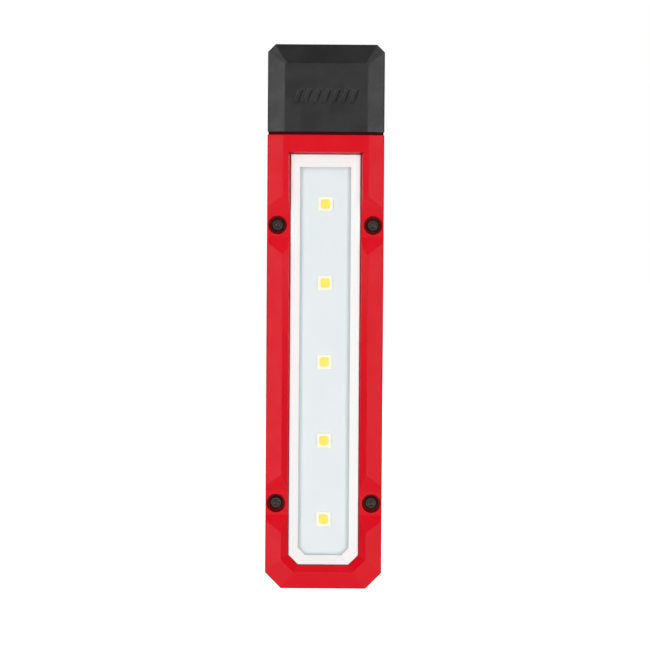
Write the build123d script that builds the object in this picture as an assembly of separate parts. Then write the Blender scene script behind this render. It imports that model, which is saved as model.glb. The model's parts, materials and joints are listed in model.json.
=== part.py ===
from build123d import *
import os

# Battery work light: a slim bar with a long LED window in front, a pull-off battery cap on top
# that carries the power button, and a folding hook and two magnets at the back.
#
# Millimetres. The origin is the centre of the bottom end. +Z runs up the bar, -Y is the lit
# front and +X is on the right of someone who faces it.

# Overall size
LENGTH = 182.0
WIDTH = 39.0
DEPTH = 29.0
HALF = WIDTH / 2
FRONT = -DEPTH / 2
BACK = DEPTH / 2

# Housing shape
BODY_TOP = 151.9
PARTING = 1.0
WALL = 1.9
CORNER_CUT = 5.3
RIDGE_HALF = 14.2
RIDGE_LOW = 5.6
RIDGE_CUT = 4.2
FACET_DROP = 1.2
REAR_FACET = 3.0
REAR_DROP = 1.8
REAR_INNER = 10.3
EDGE_ROUND = 0.5
RIDGE_ROUND = 3.0
TOP_ROUND = 0.3
RIM_INSET = 0.3
RIM_HEIGHT = 0.9

# Grip grooves along both sides
GRIP_COUNT = 9
GRIP_FIRST = 52.0
GRIP_PITCH = 5.0
GRIP_WIDTH = 2.2
GRIP_DEPTH = 0.5
GRIP_SPAN = (4.0, 11.0)

# Window and the parts stacked behind it
WINDOW_HALF = 11.8
WINDOW_LOW = 7.8
WINDOW_HIGH = 145.55
WINDOW_CUT = 3.25
BEVEL_TOP = 0.75
BEVEL_LOW = 2.0
DRAFT = 0.25
DRAFT_DEPTH = 2.4
LIP_BACK = FRONT + 3.4
FRAME_GAP = 0.15
FRAME_RIM = 0.3
FRAME_FRONT = FRONT + DRAFT_DEPTH
FRAME_INNER = FRONT + 3.2
FRAME_SHOULDER = LIP_BACK + 0.4
FRAME_BACK = FRAME_SHOULDER + 1.3
FRAME_FLANGE = 1.2
POCKET_GAP = 0.1
RIB = 1.0
OPENING_HALF = 8.55
OPENING_LOW = 11.0
OPENING_HIGH = 141.2
OPENING_CUT = 2.5
PANE_GAP = 0.1
PANE_FLANGE = 0.9
PANE_FRONT = FRAME_INNER + 0.2
PANE_SEAT = FRAME_INNER + 0.5
PANE_BACK = PANE_SEAT + 0.6
BOARD_FRONT = FRAME_BACK
BOARD_BACK = BOARD_FRONT + 1.6
THERMAL_BACK = BOARD_BACK + 0.5
SPREADER_BACK = THERMAL_BACK + 1.5
BOARD_HALF = 12.4
BOARD_LOW = 9.0
BOARD_HIGH = 144.2

# LEDs
LED_COUNT = 5
LED_FIRST = 23.0
LED_PITCH = 26.46
LED_SIZE = 4.8
LED_HEIGHT = 0.7
PHOSPHOR_SIZE = 3.1
PHOSPHOR_ROUND = 0.8
PHOSPHOR_DEPTH = 0.35

# Housing screws and their saddles
SCREW_X = 15.95
SCREW_Z = (28.6, 121.75)
SADDLE_DEPTH = 1.8
SADDLE_FLAT = 3.9
SADDLE_REACH = 9.7
BORE_R = 3.15
BORE_FLOOR = FRONT + SADDLE_DEPTH + 3.8
BOSS_R = 3.8
BOSS_BACK = BORE_FLOOR + 1.5
COLUMN_R = 2.6
SHANK_R = 1.3
HEAD_R = 2.1
HEAD_HEIGHT = 1.6
HEAD_DOME = 0.6
SOCKET_R = 1.3
SHANK_END = 8.0

# Small screws inside
SMALL_HEAD_R = 1.7
SMALL_HEAD_HEIGHT = 1.1
SMALL_SHANK_R = 0.9
SMALL_LENGTH = 5.5
SMALL_DOME = 0.4
SMALL_PILOT_R = 0.95
SMALL_HOLE_R = 1.1
SPREADER_X = 15.1
SPREADER_Z = (62.0, 92.0)

# Slot for the LED leads through the plates
SLOT_Z = 66.0
SLOT_WIDTH = 10.4
SLOT_HEIGHT = 6.0

# Battery tube, neck and cells
CELL_R = 5.1
CELL_LENGTH = 44.5
NUB_R = 1.9
NUB_HEIGHT = 1.0
CELL_X = 5.4
CELL_Y = 3.8
CELL_LOW = 75.6
CONTACT_GAP = 0.05
TUBE_LOW = 70.0
TUBE_FLOOR = 1.5
TUBE_TOP = 165.0
BORE_HALF_DEPTH = 5.4
TUBE_WALL = 0.9
NECK_HALF = 15.9
NECK_HALF_DEPTH = 9.9
NECK_WALL = 1.6
PLATE_LOW = 148.6
PLATE_HALF = 17.5
KEY_REACH = 0.8
KEY_Y = (-8.0, 9.0)
KEY_Z = (149.5, 150.9)
NECK_SEAL_Z = (155.1, 156.7)
BEAD_R = 0.5
BEAD_LENGTH = 10.0
BEAD_Z = 161.0

# Cap
CAP_LOW = 152.9
CAP_CUT = 2.55
CAP_RIDGE_HALF = 13.9
CAP_RIDGE_HIGH = 175.8
CAP_RIDGE_CUT = 0.8
CAP_DROP = 1.7
CAP_ROUND = 2.0
CAP_INNER_HALF = 16.2
CAP_INNER_DEPTH = 10.25
CAP_CEILING = 179.0
CARRIER_LOW = 167.6
CARRIER_HIGH = 169.6
POST_X = 12.8
POST_R = 2.4
MARK_LOW = 162.2
MARK_HIGH = 167.2
MARK_BARS = 7
MARK_PITCH = 3.1
MARK_WIDTH = 1.9
MARK_SLANT = 1.6
MARK_SLOPE = 0.5
MARK_DEPTH = 0.3

# Power button and switch
BUTTON_R = 6.4
BUTTON_TOP = 181.7
FLANGE_R = 7.7
FLANGE_LOW = 177.4
FLANGE_HIGH = 178.4
SEAL_HIGH = 178.95
SWITCH_HALF = 5.5
SWITCH_HIGH = 175.7
PLUNGER_R = 1.6
PLUNGER_LOW = 173.6
PLUNGER_HIGH = 177.15
SWITCH_WELL = 170.4

# Hook and its channel in the back
CHANNEL_HALF = 8.5
CHANNEL_FLOOR = 11.5
CHANNEL_LOW = 95.0
HINGE_Y = 13.05
HINGE_Z = 147.0
EYE_R = 1.4
EYE_HALF = 7.6
PIN_R = 0.8
PIN_FIT = 0.05
HOOK_HALF_THICK = 1.1
HOOK_BEND_Z = 105.0
HOOK_OUTER = 8.0
HOOK_INNER = 5.0
HOOK_BASE_LOW = 131.0
HOOK_TIP_Z = 111.0
HOOK_SHIFT = 0.4
PIN_SPAN = (-11.4, 16.2)

# Magnets and the rubber pad over them
MAGNET_Z = (24.0, 50.0)
MAGNET_R = 7.5
MAGNET_FRONT = 9.4
MAGNET_BACK = 12.4
KEEPER_FRONT = 8.4
KEEPER_Z = 37.0
KEEPER_WIDTH = 12.0
KEEPER_LENGTH = 42.0
PAD_FRONT = 13.6
PAD_HALF = 11.0
PAD_LOW = 12.0
PAD_HIGH = 62.0

# Driver
DRIVER_FRONT = 1.6
DRIVER_BACK = 2.8
DRIVER_HALF = 10.5
DRIVER_LOW = 14.0
DRIVER_HIGH = 62.0
DRIVER_POST_X = 8.5
DRIVER_POST_Z = 37.0
INDUCTOR_Z = 27.0
INDUCTOR_SIZE = 7.0
INDUCTOR_HEIGHT = 3.6
CHIP_HALF = 2.5
CHIP_Z = (42.0, 46.0)
CHIP_HEIGHT = 1.5
CAPACITOR_SITES = ((-5.5, 18.5), (5.5, 18.5))
CAPACITOR_R = 2.0
CAPACITOR_HEIGHT = 4.6
LEAD_R = 0.6
BATTERY_LEAD_X = 8.0
LED_LEAD_X = 3.0


def offset_cut(cut, distance):
    """A 45 degree corner cut, after its outline has grown by distance."""
    return cut + distance * (2 - 2**0.5)


def outline(half, low, high, low_cut=0.0, high_cut=0.0):
    """Upright outline, symmetrical in x, with 45 degree cuts at its lower or upper corners."""
    right = []
    if low_cut:
        right += [(half - low_cut, low), (half, low + low_cut)]
    else:
        right += [(half, low)]
    if high_cut:
        right += [(half, high - high_cut), (half - high_cut, high)]
    else:
        right += [(half, high)]
    left = [(-x, z) for x, z in reversed(right)]
    return Polygon(*right, *left, align=None)


def grown_window(distance):
    """The window's outline, grown by distance."""
    return outline(
        WINDOW_HALF + distance,
        WINDOW_LOW - distance,
        WINDOW_HIGH + distance,
        offset_cut(WINDOW_CUT, distance),
    )


def at_y(sketch, y):
    """A sketch in x and z, stood up at a depth y."""
    return Plane.XZ.offset(-y) * sketch


def slab(sketch, front, back):
    """A sketch in x and z, extruded from depth front to depth back."""
    return extrude(at_y(sketch, back), amount=back - front)


def rod(x, z, radius, front, back):
    """A round bar along Y."""
    return slab(Pos(x, z) * Circle(radius), front, back)


def post(x, y, radius, low, high):
    """A round bar along Z."""
    return Pos(x, y, low) * extrude(Circle(radius), amount=high - low)


def block(x_span, y_span, z_span):
    """A box between two corners."""
    spans = (x_span, y_span, z_span)
    size = [high - low for low, high in spans]
    centre = [(high + low) / 2 for low, high in spans]
    return Pos(*centre) * Box(*size)


def rounded_block(half_x, y_span, z_span, radius):
    """A box with rounded upright edges."""
    depth = y_span[1] - y_span[0]
    section = RectangleRounded(2 * half_x, depth, radius)
    return Pos(0, sum(y_span) / 2, z_span[0]) * extrude(section, amount=z_span[1] - z_span[0])


def screw_sites():
    """Places of the four housing screws in x and z."""
    return [(side * SCREW_X, z) for side in (-1, 1) for z in SCREW_Z]


def spreader_sites():
    """Places of the four spreader screws in x and z."""
    return [(side * SPREADER_X, z) for side in (-1, 1) for z in SPREADER_Z]


def all_rods(sites, radius, front, back):
    """The same bar along Y at each site."""
    return Compound([rod(x, z, radius, front, back) for x, z in sites])


def bar_section(inset):
    """Section across the housings in x and y, shrunk by inset."""
    right = [
        (RIDGE_HALF, FRONT + inset),
        (HALF - inset, FRONT + FACET_DROP + inset),
        (HALF - inset, BACK - REAR_DROP - inset),
        (HALF - REAR_FACET, BACK - inset),
    ]
    left = [(-x, y) for x, y in reversed(right)]
    return Polygon(*right, *left, align=None)


def rim():
    """Flange over the housings' top edges, set in from the outside, that the cap stands over."""
    flange = Pos(0, 0, BODY_TOP) * extrude(bar_section(RIM_INSET), amount=RIM_HEIGHT)
    half = CHANNEL_HALF + 0.2
    return flange - block((-half, half), (CHANNEL_FLOOR, BACK + 1), (BODY_TOP - 1, CAP_LOW))


def without_bosses(part, front, back):
    """A part with room round the front housing's screw bosses."""
    for x, z in screw_sites():
        part -= rod(x, z, BOSS_R + 0.1, front - 1, back + 1)
    return part


def rounded(part, shoulder, soft, keep_low=None, keep_high=None, keep_back=None):
    """A part with its outer edges rounded, except those on the faces that meet another part.

    Edges in front of the shoulder, between the front's facets, get the softer radius.
    """

    def pick(edges, in_front):
        return [
            edge
            for edge in edges
            if (edge.center().Y < shoulder - 0.01) == in_front
            and (keep_low is None or edge.center().Z > keep_low + 0.01)
            and (keep_high is None or edge.center().Z < keep_high - 0.01)
            and (keep_back is None or abs(edge.center().Y - keep_back) > 0.01)
        ]

    ridges = pick(part.edges(), True)
    if ridges:
        part = fillet(ridges, soft)
    return fillet(pick(part.edges(), False), EDGE_ROUND)


def rounded_top(bar):
    """A housing's bar with its top edge rounded, except where it meets the other housing."""
    edges = bar.faces().sort_by(Axis.Z)[-1].edges()
    return fillet([edge for edge in edges if abs(edge.center().Y - PARTING) > 0.01], TOP_ROUND)


# ---- Housings ----


def saddle(side, z):
    """The recess round one housing screw: a flat seat with a ramp above and below."""
    seat = FRONT + SADDLE_DEPTH
    slope = (SADDLE_REACH - SADDLE_FLAT) / SADDLE_DEPTH
    proud = 1.0
    reach = SADDLE_REACH + slope * proud
    points = [
        (FRONT - proud, z - reach),
        (seat, z - SADDLE_FLAT),
        (seat, z + SADDLE_FLAT),
        (FRONT - proud, z + reach),
    ]
    length = HALF - WINDOW_HALF + 1.5
    start = min(side * (WINDOW_HALF - 0.5), side * (WINDOW_HALF - 0.5 + length))
    return Pos(start, 0, 0) * extrude(Plane.YZ * Polygon(*points, align=None), amount=length)


def window_bevel():
    """The bevel from the ridge to the window's edge, from the upper saddles down, deeper below."""
    high = SCREW_Z[1]
    ridge = at_y(outline(RIDGE_HALF, RIDGE_LOW, high, RIDGE_CUT), FRONT)
    fall = (BEVEL_LOW - BEVEL_TOP) / (high - WINDOW_LOW)
    corners = [
        (WINDOW_HALF - WINDOW_CUT, WINDOW_LOW),
        (WINDOW_HALF, WINDOW_LOW + WINDOW_CUT),
        (WINDOW_HALF, high),
    ]
    corners += [(-x, z) for x, z in reversed(corners)]
    edge = [(x, FRONT + BEVEL_TOP + fall * (high - z), z) for x, z in corners]
    return loft([ridge.face(), Face(Wire.make_polygon(edge, close=True))], ruled=True)


def window_hole():
    """The hole for the window; its wall leans outwards towards the front."""
    proud = 1.0
    mouth = at_y(grown_window(DRAFT * (DRAFT_DEPTH + proud)), FRONT - proud)
    hole = loft([mouth, at_y(grown_window(0), FRONT + DRAFT_DEPTH)], ruled=True)
    return hole + slab(grown_window(0), FRONT + DRAFT_DEPTH, LIP_BACK + 1)


def front_outer():
    """The front housing as a solid bar, with its facets and rounded edges."""
    plan = outline(HALF, 0, BODY_TOP, CORNER_CUT)
    ridge = outline(RIDGE_HALF, RIDGE_LOW, BODY_TOP, RIDGE_CUT)
    shoulder = FRONT + FACET_DROP
    bar = loft([at_y(plan, shoulder), at_y(ridge, FRONT)], ruled=True)
    bar += slab(plan, shoulder, PARTING)
    bar = rounded(bar, shoulder, RIDGE_ROUND, keep_high=BODY_TOP, keep_back=PARTING)
    return rounded_top(bar)


def inner_plan():
    """The space inside the housing walls, open at the top."""
    return outline(HALF - WALL, WALL, BODY_TOP + 1, offset_cut(CORNER_CUT, -WALL))


def plate_groove():
    """The grooves in both side walls that hold the battery tube's plate."""
    half = HALF - WALL + KEY_REACH + 0.05
    y_span = (KEY_Y[0] - 0.2, KEY_Y[1] + 0.2)
    return block((-half, half), y_span, (KEY_Z[0] - 0.15, KEY_Z[1] + 0.15))


def front_housing():
    outer = front_outer()
    inside = all_rods(screw_sites(), BOSS_R, LIP_BACK - 0.5, BOSS_BACK)
    inside += all_rods(screw_sites(), COLUMN_R, LIP_BACK - 0.5, PARTING)
    inside += all_rods(spreader_sites(), 1.9, LIP_BACK - 0.5, THERMAL_BACK)
    pocket = FRAME_FLANGE + POCKET_GAP
    ring = grown_window(pocket + RIB) - grown_window(pocket)
    inside += slab(ring, LIP_BACK - 0.5, BOARD_BACK)
    shell = outer - slab(inner_plan(), LIP_BACK, PARTING + 1)
    shell += inside & outer
    shell -= window_hole()
    shell -= window_bevel()
    for x, z in screw_sites():
        shell -= saddle(1 if x > 0 else -1, z)
    shell -= all_rods(screw_sites(), BORE_R, FRONT - 1, BORE_FLOOR)
    shell -= all_rods(screw_sites(), SHANK_R + 0.2, BORE_FLOOR - 1, PARTING + 1)
    shell -= all_rods(spreader_sites(), SMALL_PILOT_R, THERMAL_BACK - 5, THERMAL_BACK + 1)
    shell -= plate_groove()
    return shell


def rear_outer():
    """The rear housing as a solid bar."""
    plan = outline(HALF, 0, BODY_TOP, CORNER_CUT)
    flat = outline(
        HALF - REAR_FACET, REAR_FACET, BODY_TOP, offset_cut(CORNER_CUT, -REAR_FACET)
    )
    shoulder = BACK - REAR_DROP
    bar = slab(plan, PARTING, shoulder)
    bar += loft([at_y(plan, shoulder), at_y(flat, BACK)], ruled=True)
    bar = rounded(bar, PARTING, EDGE_ROUND, keep_high=BODY_TOP, keep_back=PARTING)
    return rounded_top(bar)


def seal_path(wider):
    """Section of the seal's groove between the housings, a ring open at the top."""
    middle = 0.95
    half = 0.4 + wider
    outer = outline(
        HALF - middle + half,
        middle - half,
        PLATE_LOW,
        offset_cut(CORNER_CUT, half - middle),
    )
    inner = outline(
        HALF - middle - half,
        middle + half,
        PLATE_LOW + 1,
        offset_cut(CORNER_CUT, -half - middle),
    )
    return outer - inner


def grip_grooves():
    """Shallow grooves across both sides of the rear housing."""
    cuts = []
    for i in range(GRIP_COUNT):
        z = GRIP_FIRST + GRIP_PITCH * i
        for side in (-1, 1):
            across = sorted((side * (HALF - GRIP_DEPTH), side * (HALF + 1)))
            cuts.append(block(across, GRIP_SPAN, (z, z + GRIP_WIDTH)))
    return Compound(cuts)


def rear_housing():
    outer = rear_outer()
    inside = all_rods(screw_sites(), COLUMN_R + 0.3, PARTING, REAR_INNER + 0.5)
    inside += all_rods(driver_sites(), 2.0, DRIVER_BACK, REAR_INNER + 0.5)
    shell = outer - slab(inner_plan(), PARTING - 1, REAR_INNER)
    shell += inside & outer
    shell -= all_rods(screw_sites(), SHANK_R + 0.03, PARTING - 1, SHANK_END + 0.5)
    shell -= all_rods(driver_sites(), SMALL_PILOT_R, DRIVER_BACK - 1, 8.0)
    shell -= slab(seal_path(0.1), PARTING - 1, PARTING + 0.8)
    magnets = [(0, z) for z in MAGNET_Z]
    shell -= all_rods(magnets, MAGNET_R + 0.1, REAR_INNER - 1, MAGNET_BACK)
    shell -= rod(0, KEEPER_Z, SMALL_PILOT_R, REAR_INNER - 1, 12.8)
    pad = RectangleRounded(2 * PAD_HALF, PAD_HIGH - PAD_LOW, 3.0)
    shell -= slab(Pos(0, (PAD_HIGH + PAD_LOW) / 2) * pad, PAD_FRONT, BACK + 1)
    span = (CHANNEL_LOW, BODY_TOP + 1)
    shell -= block((-CHANNEL_HALF, CHANNEL_HALF), (CHANNEL_FLOOR, BACK + 1), span)
    shell -= Pos(0, BACK + 5.4, CHANNEL_LOW) * Sphere(8.0)
    bore_left = PIN_SPAN[0] - 0.2
    bore_right = HALF + 1
    bore = Cylinder(PIN_R + 0.02, bore_right - bore_left, rotation=(0, 90, 0))
    shell -= Pos((bore_right + bore_left) / 2, HINGE_Y, HINGE_Z) * bore
    shell -= grip_grooves()
    shell -= plate_groove()
    return shell


def housing_seal():
    return slab(seal_path(0), PARTING, PARTING + 0.75)


def magnet_pad():
    """Rubber pad over the magnets, with shallow treads across it."""
    half = PAD_HALF - 0.1
    low = PAD_LOW + 0.1
    high = PAD_HIGH - 0.1
    pad = slab(Pos(0, (high + low) / 2) * RectangleRounded(2 * half, high - low, 2.9), PAD_FRONT, BACK)
    for i in range(9):
        z = low + 4.0 + 5.0 * i
        pad -= block((-half + 2.5, half - 2.5), (BACK - 0.35, BACK + 1), (z, z + 1.4))
    return pad


# ---- Window and LEDs ----


def frame_opening(distance):
    """The opening in the window frame, grown by distance."""
    return outline(
        OPENING_HALF + distance,
        OPENING_LOW - distance,
        OPENING_HIGH + distance,
        offset_cut(OPENING_CUT, distance),
    )


def window_frame():
    """White frame: a bevelled face, a flange behind the housing's lip and a rebate for the pane."""
    plug = slab(grown_window(-FRAME_GAP), FRAME_FRONT, FRAME_SHOULDER)
    plug = fillet(plug.faces().sort_by(Axis.Y)[0].edges(), 0.2)
    flange = slab(grown_window(FRAME_FLANGE), FRAME_SHOULDER, FRAME_BACK)
    frame = plug + without_bosses(flange, FRAME_SHOULDER, FRAME_BACK)
    mouth = at_y(grown_window(-FRAME_GAP - FRAME_RIM), FRAME_FRONT)
    frame -= loft([mouth, at_y(frame_opening(0), FRAME_INNER)], ruled=True)
    frame -= slab(frame_opening(0), FRAME_INNER - 0.1, PANE_SEAT + 0.1)
    return frame - slab(frame_opening(PANE_FLANGE + PANE_GAP), PANE_SEAT, FRAME_BACK + 1)


def lens():
    """Clear pane in the frame's opening, with a flange behind it."""
    pane = slab(frame_opening(-PANE_GAP), PANE_FRONT, PANE_SEAT)
    pane = chamfer(pane.faces().sort_by(Axis.Y)[0].edges(), 0.15)
    return pane + slab(frame_opening(PANE_FLANGE), PANE_SEAT, PANE_BACK)


def frame_gasket():
    ring = grown_window(FRAME_FLANGE) - grown_window(0.05 - FRAME_GAP)
    return without_bosses(slab(ring, LIP_BACK, FRAME_SHOULDER), LIP_BACK, FRAME_SHOULDER)


def lead_slot(front, back):
    """Room for the two LED leads to pass through the plates."""
    return slab(Pos(0, SLOT_Z) * RectangleRounded(SLOT_WIDTH, SLOT_HEIGHT, 1.5), front, back)


def plate_plan():
    return outline(BOARD_HALF, BOARD_LOW, BOARD_HIGH, WINDOW_CUT)


def led_board():
    return without_bosses(slab(plate_plan(), BOARD_FRONT, BOARD_BACK), BOARD_FRONT, BOARD_BACK)


def thermal_pad():
    plan = outline(BOARD_HALF - 1, BOARD_LOW + 1, BOARD_HIGH - 1, WINDOW_CUT)
    return slab(plan, BOARD_BACK, THERMAL_BACK) - lead_slot(BOARD_BACK - 1, THERMAL_BACK + 1)


def heat_spreader():
    """Aluminium plate with four ears that are screwed to the front housing."""
    plate = slab(plate_plan(), THERMAL_BACK, SPREADER_BACK)
    for z in SPREADER_Z:
        ears = RectangleRounded(2 * (SPREADER_X + 1.9), 5.0, 1.5)
        plate += slab(Pos(0, z) * ears, THERMAL_BACK, SPREADER_BACK)
    plate -= all_rods(spreader_sites(), SMALL_HOLE_R, THERMAL_BACK - 1, SPREADER_BACK + 1)
    return plate - lead_slot(THERMAL_BACK - 1, SPREADER_BACK + 1)


def led_heights():
    return [LED_FIRST + LED_PITCH * i for i in range(LED_COUNT)]


def led_packages():
    front = BOARD_FRONT - LED_HEIGHT
    packages = []
    for z in led_heights():
        case = slab(Pos(0, z) * RectangleRounded(LED_SIZE, LED_SIZE, 0.4), front, BOARD_FRONT)
        well = RectangleRounded(PHOSPHOR_SIZE, PHOSPHOR_SIZE, PHOSPHOR_ROUND)
        packages.append(case - slab(Pos(0, z) * well, front - 1, front + PHOSPHOR_DEPTH))
    return Compound(packages)


def led_phosphors():
    front = BOARD_FRONT - LED_HEIGHT
    well = RectangleRounded(PHOSPHOR_SIZE, PHOSPHOR_SIZE, PHOSPHOR_ROUND)
    return Compound(
        [slab(Pos(0, z) * well, front + 0.05, front + PHOSPHOR_DEPTH) for z in led_heights()]
    )


# ---- Fasteners ----


def lobed_socket(radius, depth):
    """Six-lobed driver socket with a drilled point, its mouth at z = 0."""
    star = Circle(radius * 0.72)
    for i in range(6):
        star += Rot(0, 0, 60 * i) * Pos(radius * 0.72, 0) * Circle(radius * 0.28)
    point = Cone(0, radius * 0.8, depth * 0.5)
    return extrude(star, amount=-depth) + Pos(0, 0, -depth * 1.25) * point


def pan_screw(head_r, head_height, shank_r, shank_length, socket_r, dome):
    """A pan-head screw along Z, its head above z = 0 and its shank below."""
    head = extrude(Circle(head_r), amount=head_height)
    head = fillet(head.edges().sort_by(Axis.Z)[-1], dome)
    head -= Pos(0, 0, head_height) * lobed_socket(socket_r, head_height * 0.5)
    shank = extrude(Circle(shank_r), amount=-shank_length)
    shank = chamfer(shank.edges().sort_by(Axis.Z)[0], shank_r * 0.4)
    return head + shank


def small_screw(length=SMALL_LENGTH):
    return pan_screw(SMALL_HEAD_R, SMALL_HEAD_HEIGHT, SMALL_SHANK_R, length, 0.9, SMALL_DOME)


def screws_facing_front(screw, sites, seat):
    """The same screw at each site in x and z, its head's seat at depth seat, head to the front."""
    return Compound([Pos(x, seat, z) * Rot(90, 0, 0) * screw for x, z in sites])


def screws_facing_back(screw, sites, seat):
    """The same, head to the back."""
    return Compound([Pos(x, seat, z) * Rot(-90, 0, 0) * screw for x, z in sites])


def housing_screws():
    length = SHANK_END - BORE_FLOOR
    screw = pan_screw(HEAD_R, HEAD_HEIGHT, SHANK_R, length, SOCKET_R, HEAD_DOME)
    return screws_facing_front(screw, screw_sites(), BORE_FLOOR)


def spreader_screws():
    return screws_facing_back(small_screw(), spreader_sites(), SPREADER_BACK)


def driver_sites():
    """Places of the two driver board screws in x and z."""
    return [(side * DRIVER_POST_X, DRIVER_POST_Z) for side in (-1, 1)]


def driver_screws():
    return screws_facing_front(small_screw(), driver_sites(), DRIVER_FRONT)


def keeper_screw():
    return screws_facing_front(small_screw(4.0), [(0, KEEPER_Z)], KEEPER_FRONT)


def carrier_screws():
    screw = Rot(180, 0, 0) * small_screw(7.0)
    return Compound([Pos(side * POST_X, 0, CARRIER_LOW) * screw for side in (-1, 1)])


# ---- Battery tube, cells and contacts ----


def cell_slot(wall):
    """Section round both columns of cells."""
    radius = BORE_HALF_DEPTH + wall
    return Pos(0, CELL_Y) * SlotCenterToCenter(2 * CELL_X, 2 * radius)


def battery_tube():
    """Sleeve round the cells, with the plate that closes the housing and the neck for the cap."""
    neck_span = (-NECK_HALF_DEPTH, NECK_HALF_DEPTH)
    neck = rounded_block(NECK_HALF, neck_span, (BODY_TOP - 0.5, TUBE_TOP), 2.0)
    neck = chamfer(neck.faces().sort_by(Axis.Z)[-1].edges(), 0.5)
    hollow = (-NECK_HALF_DEPTH + NECK_WALL, NECK_HALF_DEPTH - NECK_WALL)
    plate_span = (LIP_BACK + 0.1, REAR_INNER - 0.1)
    plate = rounded_block(PLATE_HALF, plate_span, (PLATE_LOW, BODY_TOP), 1.0)
    key_half = PLATE_HALF + KEY_REACH
    plate += block((-key_half, key_half), KEY_Y, KEY_Z)
    tube = neck + plate + rim()
    low = PLATE_LOW - 1
    tube -= rounded_block(NECK_HALF - NECK_WALL, hollow, (low, TUBE_TOP - NECK_WALL), 0.8)
    tube += Pos(0, 0, TUBE_LOW) * extrude(cell_slot(TUBE_WALL), amount=TUBE_TOP - TUBE_LOW - 0.5)
    tube -= Pos(0, 0, TUBE_LOW + TUBE_FLOOR) * extrude(cell_slot(0), amount=TUBE_TOP - TUBE_LOW)
    for side in (-1, 1):
        bead = Cylinder(BEAD_R, BEAD_LENGTH, rotation=(90, 0, 0))
        tube += Pos(side * (NECK_HALF - 0.3), 0, BEAD_Z) * bead
        tube -= post(side * CELL_X, CELL_Y, LEAD_R + 0.1, TUBE_LOW - 1, TUBE_LOW + 3)
    low, high = NECK_SEAL_Z
    groove = rounded_block(NECK_HALF + 1, (-12, 12), (low - 0.1, high + 0.1), 2.0)
    inset = 1.0
    core_span = (-NECK_HALF_DEPTH + inset, NECK_HALF_DEPTH - inset)
    groove -= rounded_block(NECK_HALF - inset, core_span, (low - 1, high + 1), 1.0)
    return tube - groove


def neck_seal():
    """Seal ring in the groove round the neck."""
    outer_span = (-NECK_HALF_DEPTH - 0.15, NECK_HALF_DEPTH + 0.15)
    inset = 0.95
    inner_span = (-NECK_HALF_DEPTH + inset, NECK_HALF_DEPTH - inset)
    low, high = NECK_SEAL_Z
    ring = rounded_block(NECK_HALF + 0.15, outer_span, NECK_SEAL_Z, 2.1)
    return ring - rounded_block(NECK_HALF - inset, inner_span, (low - 1, high + 1), 1.05)


def cell(low, nub_up):
    """One AAA cell with its positive nub up or down."""
    can = extrude(Circle(CELL_R), amount=CELL_LENGTH - NUB_HEIGHT)
    can = fillet(can.edges(), 0.5)
    can += Pos(0, 0, CELL_LENGTH - NUB_HEIGHT - 0.1) * extrude(Circle(NUB_R), amount=NUB_HEIGHT + 0.1)
    if not nub_up:
        can = Pos(0, 0, CELL_LENGTH) * Rot(180, 0, 0) * can
    return Pos(0, 0, low) * can


def cells():
    """Four cells in two columns: the left column has its nubs up, the right one down."""
    made = {}
    for column, (x, nub_up) in enumerate(((-CELL_X, True), (CELL_X, False))):
        for level in range(2):
            low = CELL_LOW + level * CELL_LENGTH
            made[f"cell_{2 * column + level + 1}"] = Pos(x, CELL_Y, 0) * cell(low, nub_up)
    return made


def coil(radius, wire, low, high, turns):
    """Compression spring along Z, its wire between low and high."""
    height = high - low - 2 * wire
    path = Pos(0, 0, low + wire) * Helix(height / turns, height, radius)
    start = Plane(origin=path @ 0, z_dir=path % 0)
    return sweep(start * Circle(wire), path=path, is_frenet=True)


def bent_contact(low, high):
    """Folded strip contact: a foot, a riser and a raised pad."""
    thick = 0.4
    strip = block((-3.2, 3.2), (-2.4, 2.4), (low, low + thick))
    strip += block((2.8, 3.2), (-2.4, 2.4), (low, high))
    return strip + block((-2.6, 3.2), (-2.4, 2.4), (high - thick, high))


def bottom_contact_spring():
    floor = TUBE_LOW + TUBE_FLOOR
    foot = post(0, 0, 3.6, floor, floor + 0.4)
    spring = foot + coil(3.0, 0.3, floor + 0.4, CELL_LOW, 4)
    return Pos(-CELL_X, CELL_Y, 0) * spring


def bottom_contact_plate():
    return Pos(CELL_X, CELL_Y, 0) * bent_contact(TUBE_LOW + TUBE_FLOOR, CELL_LOW)


def cells_top():
    return CELL_LOW + 2 * CELL_LENGTH


def cap_contact_plate():
    return Pos(-CELL_X, CELL_Y, 0) * bent_contact(cells_top() + CONTACT_GAP, CARRIER_LOW)


def cap_contact_spring():
    spring = post(0, 0, 3.6, CARRIER_LOW - 0.4, CARRIER_LOW)
    spring += coil(3.0, 0.3, cells_top() + CONTACT_GAP, CARRIER_LOW - 0.4, 3)
    return Pos(CELL_X, CELL_Y, 0) * spring


# ---- Cap, switch and button ----


def cap_outer():
    """The cap as a solid block with its facets, cut upper corners and rounded edges."""
    plan = outline(HALF, CAP_LOW, LENGTH, 0, CAP_CUT)
    ridge = outline(CAP_RIDGE_HALF, CAP_LOW, CAP_RIDGE_HIGH, 0, CAP_RIDGE_CUT)
    flat = outline(HALF - REAR_FACET, CAP_LOW, LENGTH - REAR_FACET, 0, CAP_RIDGE_CUT)
    shoulder = FRONT + CAP_DROP
    rear_shoulder = BACK - REAR_DROP
    cap = loft([at_y(plan, shoulder), at_y(ridge, FRONT)], ruled=True)
    cap += slab(plan, shoulder, rear_shoulder)
    cap += loft([at_y(plan, rear_shoulder), at_y(flat, BACK)], ruled=True)
    return rounded(cap, shoulder, CAP_ROUND, keep_low=CAP_LOW)


def slanted_bar(x, inset):
    """Outline of one slanted bar in the cap's front, shrunk by inset."""
    half = MARK_WIDTH / 2 - inset
    lean = MARK_SLANT / 2
    low = MARK_LOW + inset
    high = MARK_HIGH - inset
    corners = [
        (x - lean - half, low),
        (x - lean + half, low),
        (x + lean + half, high),
        (x + lean - half, high),
    ]
    return Polygon(*corners, align=None)


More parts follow.
